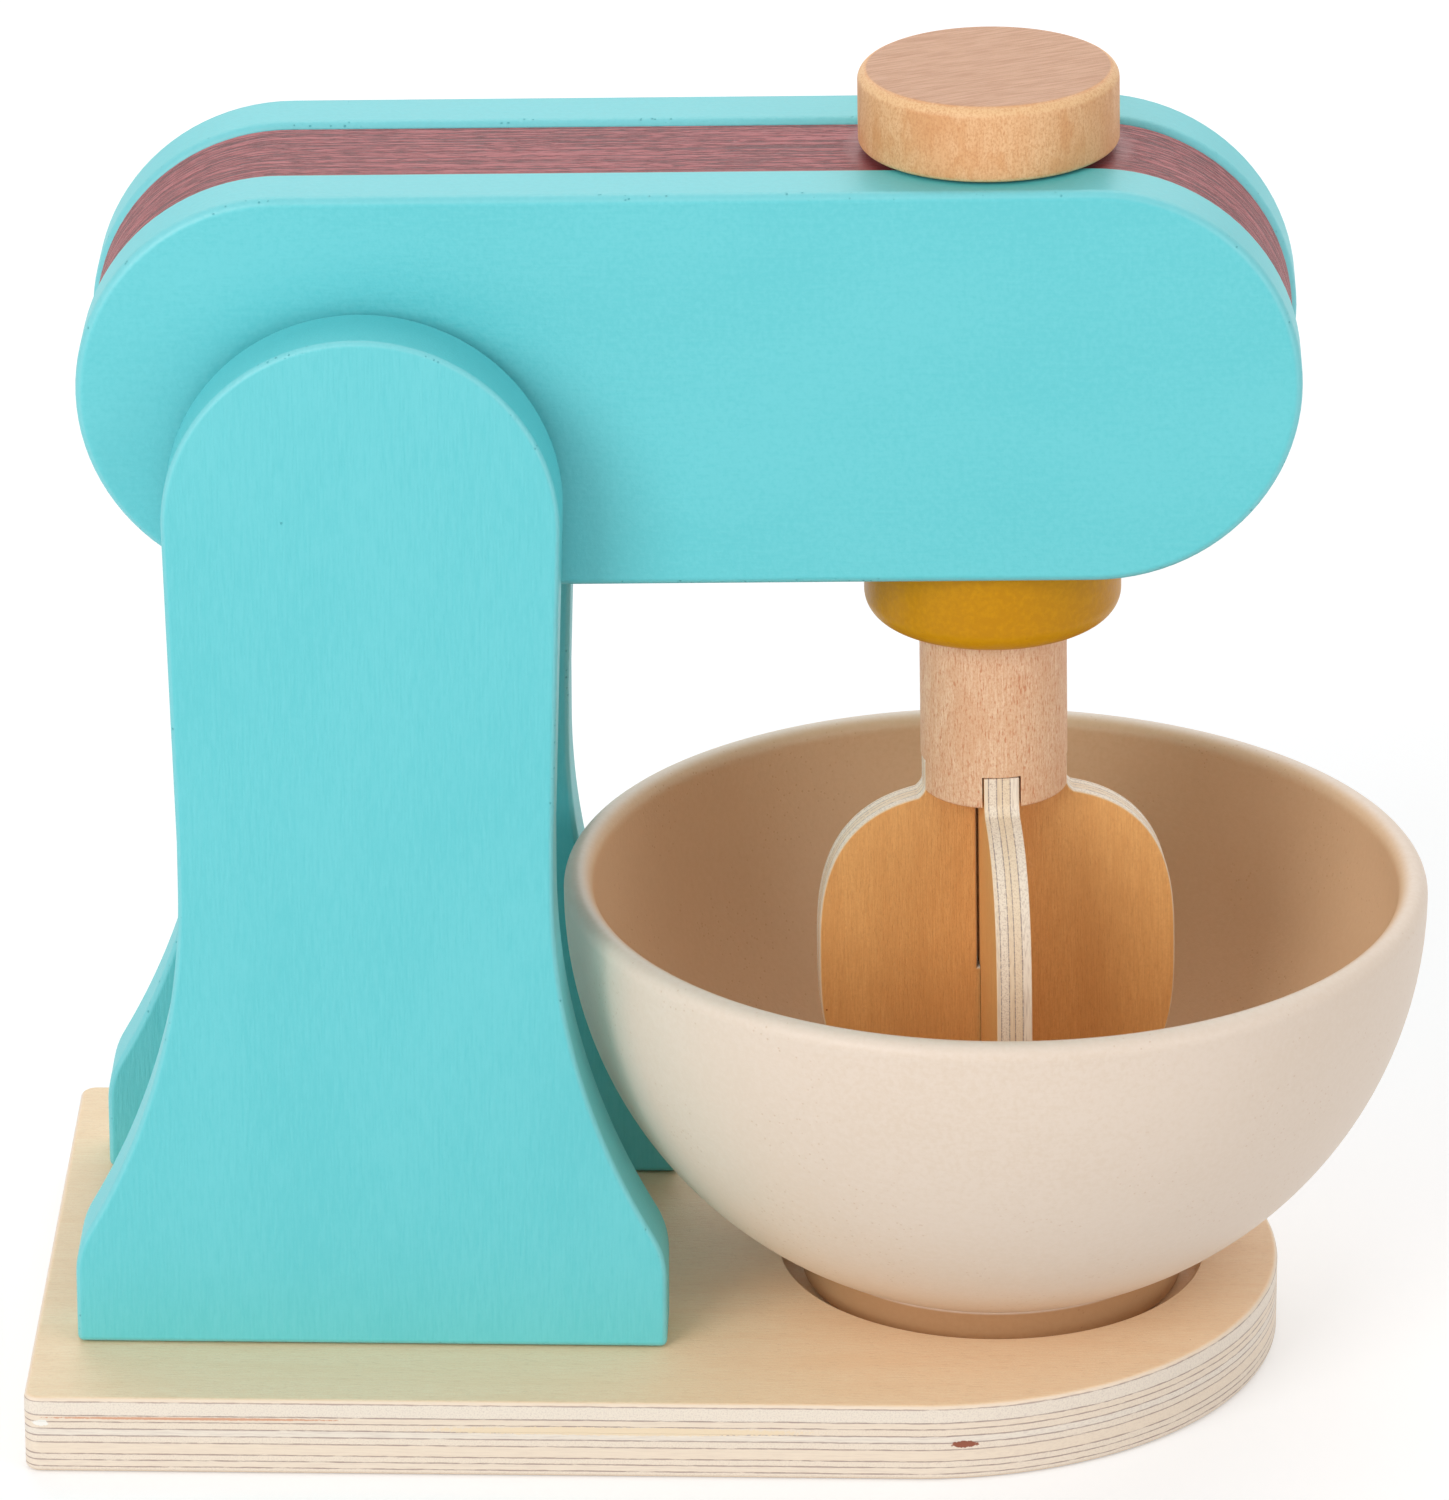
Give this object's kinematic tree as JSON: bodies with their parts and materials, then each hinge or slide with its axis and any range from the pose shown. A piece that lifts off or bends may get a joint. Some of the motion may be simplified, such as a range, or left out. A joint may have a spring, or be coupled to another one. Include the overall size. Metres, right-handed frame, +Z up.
{
  "type": "toy stand mixer",
  "caption": "Wooden toy stand mixer: tilting layered head between uprights, turning knob and collar, pull-off whisk with half-lapped blades, and a lift-out bowl on a plywood base.",
  "frame": {"origin": "on the floor, under the middle of the object's box", "axes": "+X along the length towards the nose and the bowl, +Y across towards the rear upright, +Z up"},
  "size_m": [0.2562, 0.1596, 0.2492],
  "materials": {
    "birch_plywood": "clear satin lacquer, ply edges showing",
    "turquoise_paint": "matte turquoise paint over wood",
    "dusty_red_paint": "matte dusty red paint over ply",
    "mustard_paint": "satin mustard paint",
    "cream_paint": "satin cream paint",
    "bare_maple": "bare sanded maple",
    "beech_dowel": "bare beech rod",
    "plated_steel": "zinc plated"
  },
  "bodies": {
    "stand": {"base_board": "birch_plywood", "front_upright": "turquoise_paint", "rear_upright": "turquoise_paint", "upright_screw_1": "plated_steel", "upright_screw_2": "plated_steel", "upright_screw_3": "plated_steel", "upright_screw_4": "plated_steel", "pivot_dowel": "beech_dowel", "pivot_washer_front": "beech_dowel", "pivot_washer_rear": "beech_dowel", "stop_dowel": "beech_dowel"},
    "head": {"head_front_plank": "turquoise_paint", "head_core": "dusty_red_paint", "head_rear_plank": "turquoise_paint"},
    "drive": {"knob": "bare_maple", "drive_dowel": "bare_maple", "collar": "mustard_paint"},
    "whisk": {"whisk_shaft": "bare_maple", "whisk_blade_front": "birch_plywood", "whisk_blade_side": "birch_plywood"},
    "bowl": {"bowl": "cream_paint"}
  },
  "joints": [
    {"name": "head_tilt", "type": "hinge", "parent": "stand", "child": "head", "pos_m": [-0.0656, 0, 0.1765], "axis": [0, -1, 0], "range_deg": [0, 88]},
    {"name": "knob_spin", "type": "hinge", "parent": "head", "child": "drive", "pos_m": [0.04701, 0, 0.15996], "axis": [-0.0175, 0, 0.9998], "continuous": true},
    {"name": "whisk_pull", "type": "slide", "parent": "drive", "child": "whisk", "axis": [0.0175, 0, -0.9998], "range_m": [0, 0.012]},
    {"name": "bowl_lift", "type": "slide", "parent": "stand", "child": "bowl", "axis": [0, 0, 1], "range_m": [0, 0.012]}
  ]
}
